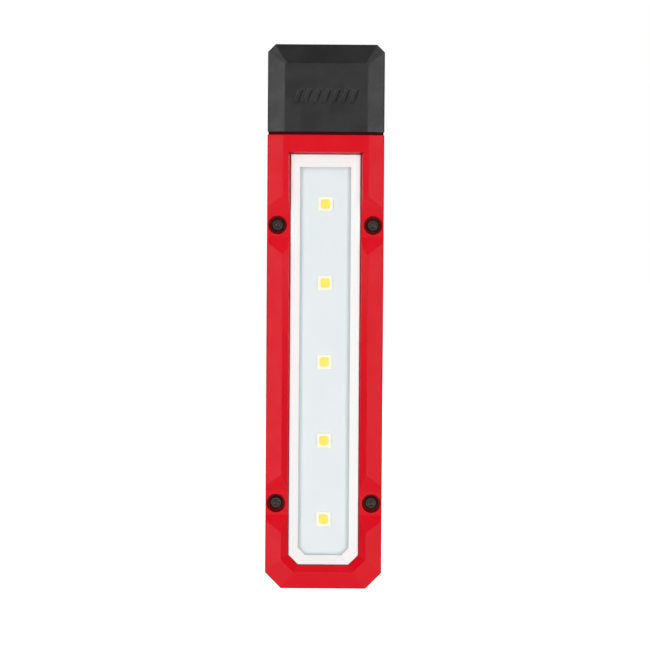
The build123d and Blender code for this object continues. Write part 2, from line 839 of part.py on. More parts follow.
def slanted_bars():
    """Row of plain slanted bars with sloping sides, engraved in the cap's front."""
    bars = []
    for i in range(MARK_BARS):
        x = (i - (MARK_BARS - 1) / 2) * MARK_PITCH
        mouth = at_y(slanted_bar(x, 0), FRONT)
        floor = at_y(slanted_bar(x, MARK_SLOPE), FRONT + MARK_DEPTH)
        bars.append(loft([mouth, floor], ruled=True))
    return Compound(bars)


def cap_shell():
    cap = cap_outer()
    inner_span = (-CAP_INNER_DEPTH, CAP_INNER_DEPTH)
    hollow = rounded_block(CAP_INNER_HALF, inner_span, (CAP_LOW - 1, CAP_CEILING), 2.2)
    for side in (-1, 1):
        hollow -= post(side * POST_X, 0, POST_R, CARRIER_HIGH, CAP_CEILING + 1)
        hollow += post(side * POST_X, 0, 0.95, CARRIER_HIGH - 1, CARRIER_HIGH + 6)
    cap -= hollow
    snap = CAP_INNER_HALF + 0.4
    snap_y = BEAD_LENGTH / 2 + 0.2
    cap -= block((-snap, snap), (-snap_y, snap_y), (BEAD_Z - 0.8, BEAD_Z + 0.8))
    cap -= post(0, 0, BUTTON_R + 0.15, CAP_CEILING - 1, LENGTH + 1)
    dish = Cone(BUTTON_R + 0.15, BUTTON_R + 2.0, 0.8)
    cap -= Pos(0, 0, LENGTH - 0.4) * dish
    channel = CHANNEL_HALF + 0.2
    cap -= block((-channel, channel), (CHANNEL_FLOOR, BACK + 1), (CAP_LOW - 1, LENGTH + 1))
    return cap - slanted_bars()


def contact_carrier():
    span = (-CAP_INNER_DEPTH + 0.2, CAP_INNER_DEPTH - 0.2)
    plate = rounded_block(CAP_INNER_HALF - 0.2, span, (CARRIER_LOW, CARRIER_HIGH), 2.0)
    for side in (-1, 1):
        plate -= post(side * POST_X, 0, 1.1, CARRIER_LOW - 1, CARRIER_HIGH + 1)
    return plate


def switch_body():
    half = SWITCH_HALF
    body = rounded_block(half, (-half, half), (CARRIER_HIGH, SWITCH_HIGH), 0.8)
    return body - post(0, 0, PLUNGER_R + 0.1, SWITCH_WELL, SWITCH_HIGH + 1)


def switch_plunger():
    return post(0, 0, PLUNGER_R, PLUNGER_LOW, PLUNGER_HIGH)


def switch_spring():
    return coil(1.2, 0.2, SWITCH_WELL, PLUNGER_LOW, 4)


def power_symbol():
    """Plain on-off symbol: an open ring with a bar in its gap."""
    ring = Circle(3.0) - Circle(2.3)
    ring -= Pos(0, 3.0) * Rectangle(1.7, 3.0)
    return ring + Pos(0, 2.4) * Rectangle(0.7, 2.6)


def power_button():
    """Round button with a flange under the cap's top wall."""
    button = post(0, 0, BUTTON_R, FLANGE_LOW, BUTTON_TOP)
    button = fillet(button.edges().sort_by(Axis.Z)[-1], 0.6)
    button += post(0, 0, FLANGE_R, FLANGE_LOW, FLANGE_HIGH)
    button += post(0, 0, 2.2, PLUNGER_HIGH, FLANGE_LOW + 0.5)
    return button - Pos(0, 0, BUTTON_TOP - 0.3) * extrude(power_symbol(), amount=1)


def button_seal():
    ring = post(0, 0, FLANGE_R, FLANGE_HIGH, SEAL_HIGH)
    return ring - post(0, 0, BUTTON_R + 0.02, FLANGE_HIGH - 1, SEAL_HIGH + 1)


# ---- Driver and leads ----


def driver_board():
    size = RectangleRounded(2 * DRIVER_HALF, DRIVER_HIGH - DRIVER_LOW, 1.0)
    board = slab(Pos(0, (DRIVER_LOW + DRIVER_HIGH) / 2) * size, DRIVER_FRONT, DRIVER_BACK)
    return board - all_rods(driver_sites(), SMALL_HOLE_R, DRIVER_FRONT - 1, DRIVER_BACK + 1)


def driver_inductor():
    plan = Pos(0, INDUCTOR_Z) * RectangleRounded(INDUCTOR_SIZE, INDUCTOR_SIZE, 1.2)
    case = slab(plan, DRIVER_BACK, DRIVER_BACK + INDUCTOR_HEIGHT)
    return chamfer(case.faces().sort_by(Axis.Y)[-1].edges(), 0.4)


def driver_chip():
    return block((-CHIP_HALF, CHIP_HALF), (DRIVER_BACK, DRIVER_BACK + CHIP_HEIGHT), CHIP_Z)


def driver_capacitors():
    back = DRIVER_BACK + CAPACITOR_HEIGHT
    return all_rods(CAPACITOR_SITES, CAPACITOR_R, DRIVER_BACK, back)


def tube_along(points, radii):
    """Round lead along straight runs that are joined by arcs."""
    path = FilletPolyline(*points, radius=radii)
    return sweep(Plane(origin=path @ 0, z_dir=path % 0) * Circle(LEAD_R), path=path)


def battery_lead(side):
    """From the driver board's back up to a contact in the tube's floor."""
    points = [
        (side * BATTERY_LEAD_X, DRIVER_BACK + LEAD_R, 52.0),
        (side * BATTERY_LEAD_X, DRIVER_BACK + LEAD_R, 62.5),
        (side * CELL_X, CELL_Y, 66.5),
        (side * CELL_X, CELL_Y, TUBE_LOW + TUBE_FLOOR),
    ]
    return tube_along(points, [4.0, 4.0])


def led_lead(side):
    """From the driver board's front through the plates to the LED board."""
    points = [
        (side * LED_LEAD_X, DRIVER_FRONT - LEAD_R, 50.0),
        (side * LED_LEAD_X, DRIVER_FRONT - LEAD_R, SLOT_Z),
        (side * LED_LEAD_X, BOARD_BACK, SLOT_Z),
    ]
    return tube_along(points, [3.5])


# ---- Magnets and hook ----


def magnet(z):
    return rod(0, z, MAGNET_R, MAGNET_FRONT, MAGNET_BACK)


def magnet_keeper():
    plan = RectangleRounded(KEEPER_WIDTH, KEEPER_LENGTH, 2.0)
    plate = slab(Pos(0, KEEPER_Z) * plan, KEEPER_FRONT, MAGNET_FRONT)
    return plate - rod(0, KEEPER_Z, 1.1, KEEPER_FRONT - 1, MAGNET_FRONT + 1)


def hook_plan():
    """The hook seen from behind: a base at the hinge, an arm, a bend and a tip."""
    base_high = HINGE_Z
    base_centre = (HOOK_BASE_LOW + base_high) / 2
    plan = Pos(0, base_centre) * Rectangle(2 * EYE_HALF, base_high - HOOK_BASE_LOW)
    arm_x = (HOOK_OUTER + HOOK_INNER) / 2
    arm_width = HOOK_OUTER - HOOK_INNER
    arm_high = HOOK_BASE_LOW + 1
    arm = Rectangle(arm_width, arm_high - HOOK_BEND_Z)
    plan += Pos(arm_x - HOOK_SHIFT, (arm_high + HOOK_BEND_Z) / 2) * arm
    ring = Circle(HOOK_OUTER) - Circle(HOOK_INNER)
    bend = Pos(-HOOK_SHIFT, HOOK_BEND_Z) * (ring & Pos(0, -HOOK_OUTER) * Rectangle(40, 2 * HOOK_OUTER))
    tip = Rectangle(arm_width, HOOK_TIP_Z - HOOK_BEND_Z)
    return plan + bend + Pos(-arm_x - HOOK_SHIFT, (HOOK_TIP_Z + HOOK_BEND_Z) / 2) * tip


def hook():
    plate = slab(hook_plan(), HINGE_Y - HOOK_HALF_THICK, HINGE_Y + HOOK_HALF_THICK)
    plate = chamfer([e for e in plate.edges() if abs(e.center().Y - HINGE_Y) > 1.0], 0.35)
    eye = Pos(0, HINGE_Y, HINGE_Z) * Cylinder(EYE_R, 2 * EYE_HALF, rotation=(0, 90, 0))
    bore = Cylinder(PIN_R + PIN_FIT, 4 * EYE_HALF, rotation=(0, 90, 0))
    return plate + eye - Pos(0, HINGE_Y, HINGE_Z) * bore


def hook_pin():
    left, right = PIN_SPAN
    pin = Cylinder(PIN_R, right - left, rotation=(0, 90, 0))
    return Pos((left + right) / 2, HINGE_Y, HINGE_Z) * pin


def hook_washers():
    """Friction washers between the hook's eye and the sides of its channel."""
    thick = CHANNEL_HALF - EYE_HALF - 0.1
    washer = Cylinder(EYE_R, thick, rotation=(0, 90, 0))
    washer -= Cylinder(PIN_R + 0.02, 2 * thick, rotation=(0, 90, 0))
    middle = (CHANNEL_HALF + EYE_HALF + 0.1) / 2
    return Compound([Pos(side * middle, HINGE_Y, HINGE_Z) * washer for side in (-1, 1)])


def all_parts():
    """Every node's shape, by name."""
    parts = {
        "front_housing": front_housing(),
        "rear_housing": rear_housing(),
        "housing_seal": housing_seal(),
        "housing_screws": housing_screws(),
        "lens": lens(),
        "frame_gasket": frame_gasket(),
        "window_frame": window_frame(),
        "led_board": led_board(),
        "led_packages": led_packages(),
        "led_phosphors": led_phosphors(),
        "thermal_pad": thermal_pad(),
        "heat_spreader": heat_spreader(),
        "spreader_screws": spreader_screws(),
        "battery_tube": battery_tube(),
        "neck_seal": neck_seal(),
        "bottom_contact_spring": bottom_contact_spring(),
        "bottom_contact_plate": bottom_contact_plate(),
        "driver_board": driver_board(),
        "driver_inductor": driver_inductor(),
        "driver_chip": driver_chip(),
        "driver_capacitors": driver_capacitors(),
        "driver_screws": driver_screws(),
        "battery_lead_negative": battery_lead(-1),
        "battery_lead_positive": battery_lead(1),
        "led_lead_negative": led_lead(-1),
        "led_lead_positive": led_lead(1),
        "magnet_keeper": magnet_keeper(),
        "keeper_screw": keeper_screw(),
        "magnet_pad": magnet_pad(),
        "hook": hook(),
        "hook_pin": hook_pin(),
        "hook_washers": hook_washers(),
        "cap_shell": cap_shell(),
        "contact_carrier": contact_carrier(),
        "carrier_screws": carrier_screws(),
        "cap_contact_plate": cap_contact_plate(),
        "cap_contact_spring": cap_contact_spring(),
        "switch_body": switch_body(),
        "switch_plunger": switch_plunger(),
        "switch_spring": switch_spring(),
        "power_button": power_button(),
        "button_seal": button_seal(),
    }
    parts.update(cells())
    for number, z in enumerate(MAGNET_Z, 1):
        parts[f"magnet_{number}"] = magnet(z)
    return parts


os.makedirs("parts", exist_ok=True)
for name, shape in all_parts().items():
    export_step(shape, f"parts/{name}.step")
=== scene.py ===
import json
from math import cos, pi, radians, sin

import bmesh
import bpy
from mathutils import Matrix, Vector


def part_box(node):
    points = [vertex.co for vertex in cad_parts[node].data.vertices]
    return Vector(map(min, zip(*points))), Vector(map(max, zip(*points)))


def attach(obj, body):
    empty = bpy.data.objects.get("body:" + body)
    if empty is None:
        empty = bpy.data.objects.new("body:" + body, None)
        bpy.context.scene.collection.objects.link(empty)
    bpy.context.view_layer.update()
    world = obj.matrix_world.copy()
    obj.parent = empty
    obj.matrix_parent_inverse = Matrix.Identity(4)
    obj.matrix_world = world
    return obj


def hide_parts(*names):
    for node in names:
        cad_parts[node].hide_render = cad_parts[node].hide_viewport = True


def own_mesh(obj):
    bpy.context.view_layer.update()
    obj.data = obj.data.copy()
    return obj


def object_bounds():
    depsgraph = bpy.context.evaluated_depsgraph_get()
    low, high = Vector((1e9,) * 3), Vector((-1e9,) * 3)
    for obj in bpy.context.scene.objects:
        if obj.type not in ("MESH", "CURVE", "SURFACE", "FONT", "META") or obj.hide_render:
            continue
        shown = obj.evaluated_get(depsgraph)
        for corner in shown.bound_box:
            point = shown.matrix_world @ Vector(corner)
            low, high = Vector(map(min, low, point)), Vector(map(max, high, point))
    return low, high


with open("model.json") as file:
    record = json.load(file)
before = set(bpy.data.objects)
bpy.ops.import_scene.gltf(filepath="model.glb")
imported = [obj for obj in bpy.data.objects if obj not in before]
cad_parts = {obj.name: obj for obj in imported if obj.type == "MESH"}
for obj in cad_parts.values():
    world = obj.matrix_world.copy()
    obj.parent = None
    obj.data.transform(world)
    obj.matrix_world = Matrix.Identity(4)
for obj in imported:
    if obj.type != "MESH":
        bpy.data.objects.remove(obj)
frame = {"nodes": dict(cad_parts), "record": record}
cad_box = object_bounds()

# Everything is in metres, in the row frame: +Z up the bar, -Y out of the lit front.
MM = 0.001
WHITE = (1.0, 1.0, 1.0)

# The box of the whole light
LOW, HIGH = cad_box
FRONT = LOW.y
MIDDLE = (LOW + HIGH) / 2

# The record's material slot of each CAD node
SLOTS = {row["node"]: row["material_slot"] for row in frame["record"]["subparts"]}


# ---------------------------------------------------------------- materials

class Finish:
    """A Principled material in Object coordinates. Texture sizes and depths are in millimetres."""

    def __init__(self, name, colour, roughness, metallic=0.0, **sockets):
        self.material = bpy.data.materials.new(name)
        self.material.use_nodes = True
        self.tree = self.material.node_tree
        self.shader = self.tree.nodes["Principled BSDF"]
        self.shader.inputs["Base Color"].default_value = (*colour, 1.0)
        self.shader.inputs["Roughness"].default_value = roughness
        self.shader.inputs["Metallic"].default_value = metallic
        for socket, value in sockets.items():
            self.shader.inputs[socket.replace("_", " ")].default_value = value
        self.place = self.node("ShaderNodeTexCoord").outputs["Object"]

    def node(self, kind, **values):
        """A new node; values are its own settings by attribute name."""
        made = self.tree.nodes.new(kind)
        for name, value in values.items():
            setattr(made, name, value)
        return made

    def feed(self, socket, value):
        """Links an output, or sets a plain number or colour, on an input socket."""
        if isinstance(value, bpy.types.NodeSocket):
            self.tree.links.new(value, socket)
        else:
            socket.default_value = value

    def noise(self, size, detail=2.0, stretch=(1, 1, 1)):
        """Noise from 0 to 1, with grains of the given size, drawn out where stretch is above 1."""
        where = self.place
        if stretch != (1, 1, 1):
            mapping = self.node("ShaderNodeMapping")
            mapping.inputs["Scale"].default_value = [1 / s for s in stretch]
            self.feed(mapping.inputs["Vector"], self.place)
            where = mapping.outputs[0]
        noise = self.node("ShaderNodeTexNoise")
        noise.inputs["Scale"].default_value = 1 / (size * MM)
        noise.inputs["Detail"].default_value = detail
        self.feed(noise.inputs["Vector"], where)
        return noise.outputs["Fac"]

    def cells(self, size):
        """Distance to the nearest cell centre, in a Voronoi pattern of the given size."""
        cells = self.node("ShaderNodeTexVoronoi")
        cells.inputs["Scale"].default_value = 1 / (size * MM)
        self.feed(cells.inputs["Vector"], self.place)
        return cells.outputs["Distance"]

    def remap(self, value, start, end, low=0.0, high=1.0):
        """Value between start and end, spread smoothly over low to high and held outside."""
        remap = self.node("ShaderNodeMapRange", interpolation_type="SMOOTHSTEP")
        for name, number in (("From Min", start), ("From Max", end), ("To Min", low), ("To Max", high)):
            remap.inputs[name].default_value = number
        self.feed(remap.inputs["Value"], value)
        return remap.outputs["Result"]

    def math(self, operation, a, b=0.0):
        maths = self.node("ShaderNodeMath", operation=operation)
        self.feed(maths.inputs[0], a)
        self.feed(maths.inputs[1], b)
        return maths.outputs[0]

    def mix(self, share, a, b):
        """Colour a where share is 0 and colour b where it is 1."""
        mix = self.node("ShaderNodeMix", data_type="RGBA")
        self.feed(mix.inputs["Factor"], share)
        self.feed(mix.inputs[6], a if isinstance(a, bpy.types.NodeSocket) else (*a, 1.0))
        self.feed(mix.inputs[7], b if isinstance(b, bpy.types.NodeSocket) else (*b, 1.0))
        return mix.outputs[2]

    def axis(self, name):
        """One coordinate, in metres."""
        split = self.node("ShaderNodeSeparateXYZ")
        self.feed(split.inputs[0], self.place)
        return split.outputs[name]

    def edges(self, width):
        """1 along the edges of the shape, 0 on its flats."""
        bevel = self.node("ShaderNodeBevel", samples=4)
        bevel.inputs["Radius"].default_value = width * MM
        flat = self.node("ShaderNodeNewGeometry").outputs["Normal"]
        dot = self.node("ShaderNodeVectorMath", operation="DOT_PRODUCT")
        self.feed(dot.inputs[0], bevel.outputs[0])
        self.feed(dot.inputs[1], flat)
        return self.remap(dot.outputs["Value"], 0.995, 0.9)

    def step(self, value, place, blur):
        """0 below place and 1 above it, or the other way round where blur is negative."""
        return self.remap(value, place - blur, place + blur)

    def recess(self, reach):
        """1 where other surfaces stand close within reach, as in a hole, 0 on open faces."""
        occlusion = self.node("ShaderNodeAmbientOcclusion", samples=8)
        occlusion.inputs["Distance"].default_value = reach * MM
        return self.remap(occlusion.outputs["AO"], 0.8, 0.35)

    def tone(self, value):
        self.feed(self.shader.inputs["Base Color"], value)

    def rough(self, value):
        self.feed(self.shader.inputs["Roughness"], value)

    def cloudy(self, size, low, high, detail=3.0):
        """Roughness that drifts between low and high in clouds of the given size."""
        self.rough(self.remap(self.noise(size, detail), 0.3, 0.7, low, high))

    def relief(self, height, depth):
        """Bump of the given depth."""
        bump = self.node("ShaderNodeBump")
        bump.inputs["Distance"].default_value = depth * MM
        self.feed(bump.inputs["Height"], height)
        self.feed(self.shader.inputs["Normal"], bump.outputs[0])


def shade(colour, factor):
    """The colour, darker or lighter by a factor."""
    return tuple(min(1.0, c * factor) for c in colour)


PATCH = 14
SCUFF = 2.2
WORN_EDGE = 0.35
# Reach of the recess darkening, which is partly dirt and partly painted shade in holes and corners
GRIME_AND_SHADE_REACH = 4.0


def moulded(name, colour, roughness, shine, grain, depth, worn, wear=0.35, grime_and_shade=0.3):
    """Moulded plastic: fine spark-eroded grain, patches of tone, worn edges, and recesses darkened
    partly as dirt and partly as painted shade.

    Worn is the colour of the edges where they are rubbed. Wear and the recess darkening (dirt and
    painted shade) are shares.
    """
    finish = Finish(name, colour, roughness)
    finish.shader.inputs["Specular IOR Level"].default_value = shine
    patches = finish.mix(finish.noise(PATCH, 3.0), shade(colour, 0.93), shade(colour, 1.07))
    scuffs = finish.remap(finish.noise(SCUFF, 4.0), 0.35, 0.7)
    edge = finish.math("MULTIPLY", finish.edges(WORN_EDGE), finish.math("MULTIPLY", scuffs, wear))
    rubbed = finish.mix(edge, patches, worn)
    # Painted shade with some dirt: holes, corners and gaps darken towards a tenth of the colour
    dirt_and_shade = finish.math("MULTIPLY", finish.recess(GRIME_AND_SHADE_REACH), grime_and_shade)
    finish.tone(finish.mix(dirt_and_shade, rubbed, shade(colour, 0.1)))
    finish.cloudy(6, roughness - 0.05, roughness + 0.06)
    finish.relief(finish.noise(grain, 3.0), depth)
    return finish.material


def white_moulded(name, colour, roughness):
    """White plastic or solder mask, with the faintest drift of tone and a fine grain."""
    finish = Finish(name, colour, roughness)
    finish.tone(finish.mix(finish.noise(9, 3.0), shade(colour, 0.985), shade(colour, 1.015)))
    finish.cloudy(3, roughness - 0.04, roughness + 0.05)
    finish.relief(finish.noise(0.5, 2.0), 0.003)
    return finish.material


def clear_plastic():
    """Clear polycarbonate, with hair-fine scratches that only show in its gloss."""
    finish = Finish("clear_plastic", (0.9, 0.93, 0.96), 0.08, Alpha=0.05, IOR=1.58)
    scratches = finish.noise(0.25, 2.0, stretch=(1, 1, 40))
    finish.rough(finish.remap(scratches, 0.55, 0.75, 0.05, 0.18))
    return finish.material


def solder_mask(name, colour, trace):
    """A printed board: mask in one tone, with spots in the tone that it has over copper."""
    finish = Finish(name, colour, 0.42)
    spots = finish.remap(finish.cells(2.6), 0.42, 0.5)
    finish.tone(finish.mix(spots, colour, trace))
    finish.cloudy(1.5, 0.36, 0.5, detail=2.0)
    finish.relief(finish.noise(0.35, 2.0), 0.004)
    return finish.material


def phosphor():
    """Silicone gel with settled phosphor grains."""
    finish = Finish("phosphor", (1.0, 0.84, 0.02), 0.35)
    finish.tone(finish.mix(finish.noise(0.25, 3.0), (1.0, 0.76, 0.008), (1.0, 0.88, 0.03)))
    finish.cloudy(0.6, 0.28, 0.45, detail=2.0)
    finish.relief(finish.noise(0.12, 2.0), 0.01)
    return finish.material


def rubber(name, colour, grain=0.3, depth=0.02):
    """Matte rubber or insulation, with patches of paler dust."""
    finish = Finish(name, colour, 0.72)
    dust = finish.remap(finish.noise(3.5, 6.0), 0.45, 0.75, 0.0, 0.3)
    finish.tone(finish.mix(dust, colour, shade(colour, 1.7)))
    finish.cloudy(2.5, 0.62, 0.85)
    finish.relief(finish.noise(grain, 3.0), depth)
    return finish.material


def metal(name, colour, roughness, grain=(1, 1, 1), size=0.15, depth=0.003, tint=None):
    """Bare or plated metal: streaks drawn out along grain, and clouds in a second tint."""
    finish = Finish(name, colour, roughness, metallic=1.0)
    streaks = finish.noise(size, 3.0, stretch=grain)
    clouds = finish.noise(4, 4.0)
    finish.tone(finish.mix(finish.remap(clouds, 0.35, 0.65), colour, tint or shade(colour, 0.88)))
    finish.rough(finish.remap(streaks, 0.25, 0.75, roughness - 0.07, roughness + 0.1))
    finish.relief(streaks, depth)
    return finish.material


def black_oxide():
    """Blackened screw: black and brown blotches, paler worn edges, and painted shade that darkens the
    socket and other hollows.
    """
    finish = Finish("black_oxide", (0.022, 0.018, 0.016), 0.24)
    finish.shader.inputs["Specular IOR Level"].default_value = 0.3
    blotches = finish.remap(finish.noise(0.7, 2.0), 0.4, 0.6)
    patches = finish.mix(blotches, (0.012, 0.014, 0.013), (0.04, 0.024, 0.018))
    scuffs = finish.math("MULTIPLY", finish.edges(0.15), finish.remap(finish.noise(0.5, 4.0), 0.4, 0.7))
    rubbed = finish.mix(finish.math("MULTIPLY", scuffs, 0.4), patches, (0.2, 0.17, 0.14))
    # Painted shade: the socket and other hollows within 1.2 mm darken to near black
    finish.tone(finish.mix(finish.recess(1.2), rubbed, (0.001, 0.001, 0.001)))
    finish.cloudy(0.4, 0.2, 0.34)
    finish.relief(finish.noise(0.2), 0.005)
    return finish.material


# The wrap's lower edge above the cell's foot, its upper edge and its band below the cell's top
WRAP_LOW = 0.5 * MM
WRAP_HIGH = 1.5 * MM
BAND_LOW = 14.15 * MM
WRAP_BLUR = 0.1 * MM
BAND_BLUR = 0.15 * MM


def cell_wrap(node):
    """Printed film on a steel can: dark sleeve, a coloured band near one end, bare metal ends."""
    low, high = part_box(node)
    finish = Finish(f"wrap_{node}", (0.02, 0.022, 0.03), 0.3)
    height = finish.axis("Z")
    band = finish.step(height, high.z - BAND_LOW, BAND_BLUR)
    wrap = finish.mix(band, (0.018, 0.02, 0.026), (0.42, 0.18, 0.03))
    foot = finish.step(height, low.z + WRAP_LOW, -WRAP_BLUR)
    top = finish.step(height, high.z - WRAP_HIGH, WRAP_BLUR)
    ends = finish.math("ADD", foot, top)
    finish.tone(finish.mix(ends, wrap, (0.62, 0.61, 0.58)))
    finish.feed(finish.shader.inputs["Metallic"], ends)
    finish.cloudy(3, 0.24, 0.4)
    return finish.material


def red_plastic():
    # The strong recess darkening here is mostly painted shade, which darkens the counterbores round the
    # screws and other recesses
    return moulded(
        "red_plastic", (0.7, 0.0012, 0.011), roughness=0.33, shine=0.13,
        grain=0.28, depth=0.012, worn=(0.8, 0.05, 0.06), wear=0.25, grime_and_shade=0.6,
    )


def black_plastic():
    return moulded(
        "black_plastic", (0.006, 0.006, 0.0068), roughness=0.34, shine=0.37,
        grain=0.24, depth=0.02, worn=(0.07, 0.07, 0.075),
    )


def neck_painted_shade():
    """Almost black with a dark red tint: painted shade, standing for red plastic in deep shadow in the
    groove under the cap.
    """
    return moulded(
        "neck_painted_shade", (0.035, 0.0006, 0.001), roughness=0.6, shine=0.05,
        grain=0.24, depth=0.02, worn=(0.04, 0.04, 0.04),
    )


def epoxy():
    return moulded(
        "epoxy", (0.018, 0.018, 0.02), roughness=0.55, shine=0.4,
        grain=0.15, depth=0.01, worn=(0.06, 0.06, 0.06),
    )


def button_plastic():
    return moulded(
        "button_plastic", (0.018, 0.018, 0.019), roughness=0.6, shine=0.4,
        grain=0.3, depth=0.02, worn=(0.08, 0.08, 0.08),
    )


def slot_finishes():
    """The finish of each of the record's material slots."""
    along_bar = (1, 1, 30)
    along_hook = (1, 1, 25)
    return {
        "housing_red": red_plastic(),
        "housing_black": black_plastic(),
        "button_black": button_plastic(),
        "component_dark": epoxy(),
        "frame_white": white_moulded("white_plastic", (0.86, 0.855, 0.855), 0.34),
        "board_white": white_moulded("white_board", (0.765, 0.82, 0.83), 0.42),
        "led_frame": white_moulded("led_package", (1.0, 0.97, 0.78), 0.35),
        "board_green": solder_mask("green_board", (0.01, 0.12, 0.035), (0.02, 0.2, 0.06)),
        "clear_lens": clear_plastic(),
        "phosphor": phosphor(),
        "seal_rubber": rubber("seal_rubber", (0.016, 0.016, 0.017)),
        "seal_silicone": rubber("silicone", (0.25, 0.008, 0.01), 0.4, 0.008),
        "thermal_grey": rubber("thermal_pad", (0.35, 0.37, 0.4), 0.6, 0.02),
        "lead_red": rubber("lead_red", (0.45, 0.012, 0.012), 0.5, 0.004),
        "lead_black": rubber("lead_black", (0.012, 0.012, 0.013), 0.5, 0.004),
        "spreader_aluminium": metal("aluminium", (0.78, 0.79, 0.8), 0.32, grain=along_bar),
        "screw_steel": metal("zinc_plate", (0.6, 0.6, 0.61), 0.34, tint=(0.52, 0.52, 0.49)),
        "contact_nickel": metal("nickel_plate", (0.7, 0.68, 0.63), 0.25),
        "magnet_nickel": metal("magnet_plate", (0.66, 0.65, 0.62), 0.18),
        "hook_steel": metal(
            "satin_steel", (0.52, 0.53, 0.55), 0.34, grain=along_hook, size=0.12, depth=0.004
        ),
        "screw_black": black_oxide(),
    }


def paint_nodes(finishes):
    """Gives every CAD node its slot's finish, apart from a few that have their own."""
    own = {
        "magnet_pad": rubber("pad_rubber", (0.02, 0.02, 0.021), 0.45, 0.03),
        # The neck's dark red tint is painted shade, standing for red plastic in the groove's shadow
        "battery_tube": neck_painted_shade(),
    }
    for name, obj in frame["nodes"].items():
        if name.startswith("cell_"):
            finish = cell_wrap(name)
        else:
            finish = own.get(name) or finishes[SLOTS[name]]
        obj.material_slots[0].material = finish


# ---------------------------------------------------------------- pieces

UP = Vector((0, 0, 1))
SMOOTH_CORNERS = 4
SHARP_DEGREES = 40


def body_of(node):
    """The name of the body that a CAD node belongs to."""
    bodies = frame["record"]["behaviour"]["bodies"]
    return next(body for body, nodes in bodies.items() if node in nodes)


def piece_from(mesh, name, node, finish):
    """Finishes a bmesh as a piece that stands for a CAD node, on its body and with its slot."""
    bmesh.ops.recalc_face_normals(mesh, faces=mesh.faces)
    for face in mesh.faces:
        face.smooth = len(face.verts) <= SMOOTH_CORNERS
    data = bpy.data.meshes.new(name)
    mesh.to_mesh(data)
    mesh.free()
    data.materials.append(finish)
    data.set_sharp_from_angle(angle=radians(SHARP_DEGREES))
    piece = bpy.data.objects.new(name, data)
    bpy.context.scene.collection.objects.link(piece)
    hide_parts(node)
    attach(piece, body_of(node))
    return piece


# ---------------------------------------------------------------- LED gel

GEL_RINGS = 10
GEL_SPOKES = 64
GEL_CORNER = 0.8 * MM
GEL_DIP = 0.09 * MM
GEL_CURVE = 5
LED_COUNT = 5


def rounded_square(half, corner, spokes):
    """Points round a square with rounded corners, in order."""
    points = []
    for i in range(spokes):
        angle = 2 * pi * (i + 0.5) / spokes
        reach = half - corner
        x, z = cos(angle), sin(angle)
        scale = reach / max(abs(x), abs(z))
        core = Vector((x, z)) * scale
        points.append(core + Vector((x, z)) * corner)
    return points


def gel_pad(mesh, x, z, half, front, back):
    """One pad of gel: its face dips behind its rim, and its skirt goes back to the package."""
    rim = rounded_square(half, GEL_CORNER, GEL_SPOKES)
    middle = mesh.verts.new((x, front + GEL_DIP, z))
    rings = []
    for ring in range(1, GEL_RINGS + 1):
        share = ring / GEL_RINGS
        y = front + GEL_DIP * (1 - share**GEL_CURVE)
        rings.append([mesh.verts.new((x + p.x * share, y, z + p.y * share)) for p in rim])
    rings.append([mesh.verts.new((x + p.x, back, z + p.y)) for p in rim])
    for i in range(GEL_SPOKES):
        j = (i + 1) % GEL_SPOKES
        mesh.faces.new((middle, rings[0][i], rings[0][j]))
        for inner, outer in zip(rings, rings[1:]):
            mesh.faces.new((inner[i], outer[i], outer[j], inner[j]))
    mesh.faces.new(rings[-1])


def gel_pads(finish):
    """The phosphor gel of the five LEDs."""
    low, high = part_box("led_phosphors")
    half = (high.x - low.x) / 2
    step = (high.z - low.z - 2 * half) / (LED_COUNT - 1)
    mesh = bmesh.new()
    for i in range(LED_COUNT):
        gel_pad(mesh, (low.x + high.x) / 2, low.z + half + i * step, half, low.y, high.y)
    return piece_from(mesh, "led_gel", "led_phosphors", finish)


# ---------------------------------------------------------------- switch spring

SPRING_TURNS = 4
SPRING_STEPS = 28
WIRE_SIDES = 12
WIRE_R = 0.2 * MM


def wire_ring(mesh, centre, out):
    """One ring of the wire's round section, in the plane of out and Z."""
    turns = [2 * pi * side / WIRE_SIDES for side in range(WIRE_SIDES)]
    return [mesh.verts.new(centre + (out * cos(turn) + UP * sin(turn)) * WIRE_R) for turn in turns]


def coil(mesh, low, high):
    """A closed coil of wire that fills the box between two corners."""
    middle = (low + high) / 2
    reach = (high.x - low.x) / 2 - WIRE_R
    climb = high.z - low.z - 2 * WIRE_R
    count = SPRING_TURNS * SPRING_STEPS
    rings = []
    for i in range(count + 1):
        angle = 2 * pi * i / SPRING_STEPS
        out = Vector((cos(angle), sin(angle), 0))
        height = low.z + WIRE_R + climb * i / count
        rings.append(wire_ring(mesh, Vector((middle.x, middle.y, height)) + out * reach, out))
    for a, b in zip(rings, rings[1:]):
        for i in range(WIRE_SIDES):
            j = (i + 1) % WIRE_SIDES
            mesh.faces.new((a[i], a[j], b[j], b[i]))
    for end in (rings[0], rings[-1]):
        mesh.faces.new(end)


def switch_spring(finish):
    """The coil under the switch's plunger."""
    low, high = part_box("switch_spring")
    mesh = bmesh.new()
    coil(mesh, low, high)
    piece = piece_from(mesh, "switch_coil", "switch_spring", finish)
    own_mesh(piece)


# ---------------------------------------------------------------- studio

def lamp(name, azimuth, elevation, distance, size, glow):
    """A soft rectangular lamp aimed at the light's middle, as bright as a white sheet times glow.

    Azimuth 0 is in front of the light and 90 is on the right of someone who faces it.
    """
    data = bpy.data.lights.new(name, "AREA")
    data.shape = "RECTANGLE"
    data.size, data.size_y = size
    data.energy = pi * size[0] * size[1] * glow
    obj = bpy.data.objects.new(name, data)
    bpy.context.scene.collection.objects.link(obj)
    away = Vector((
        sin(radians(azimuth)) * cos(radians(elevation)),
        -cos(radians(azimuth)) * cos(radians(elevation)),
        sin(radians(elevation)),
    ))
    obj.location = MIDDLE + away * distance
    obj.rotation_euler = away.to_track_quat("Z", "Y").to_euler()
    obj.visible_camera = False


